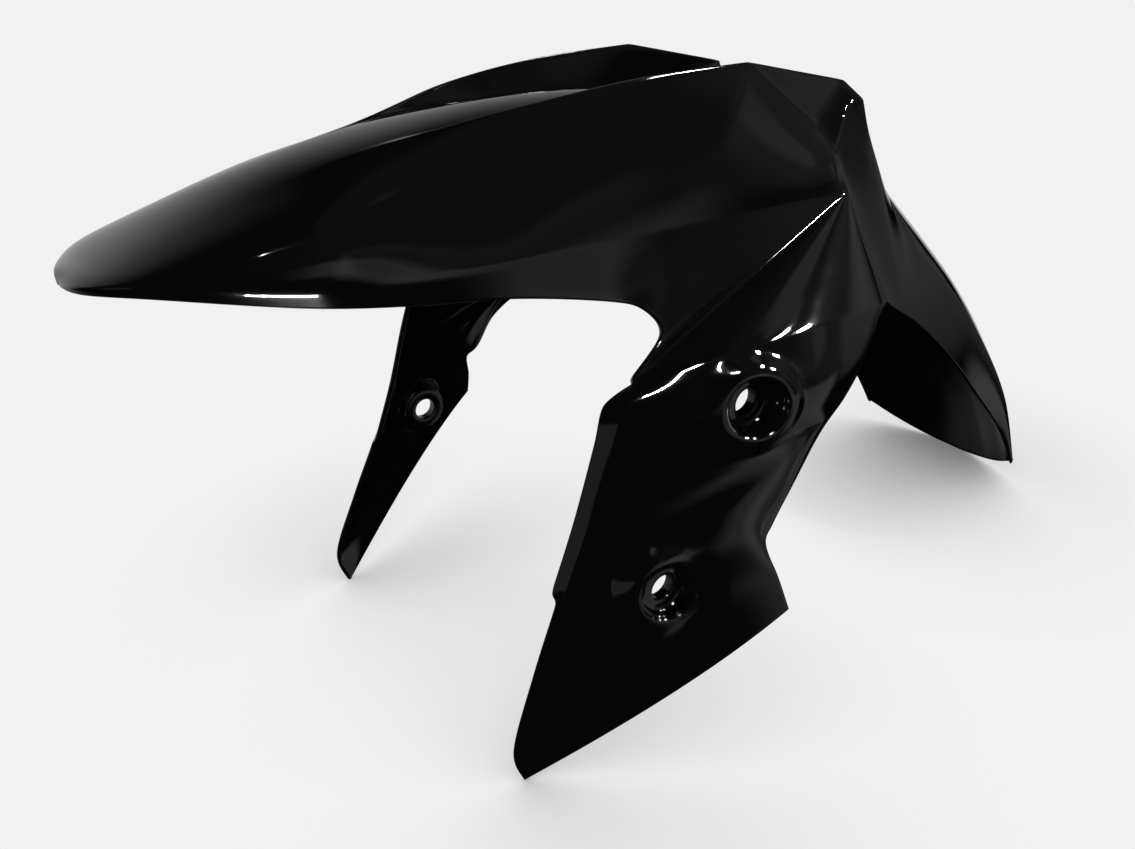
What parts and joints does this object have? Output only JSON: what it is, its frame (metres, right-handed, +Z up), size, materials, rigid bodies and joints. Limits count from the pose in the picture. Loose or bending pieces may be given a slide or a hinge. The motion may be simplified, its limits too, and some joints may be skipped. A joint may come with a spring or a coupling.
{
  "type": "motorcycle front mudguard",
  "caption": "Thin moulded front mudguard: arched nose over the tyre, raised side fins, splayed legs with recessed bolt bores for the fork, and a curved tail.",
  "frame": {"origin": "under the middle of the guard's length and width, on the surface that its leg tips and tail rest on", "axes": "+X forwards to the nose, +Y to the rider's left, +Z up"},
  "size_m": [0.562, 0.283, 0.2905],
  "materials": {
    "shell": "deep gloss black, clear-coated"
  },
  "bodies": {
    "root": {"mudguard": "shell"}
  },
  "joints": []
}
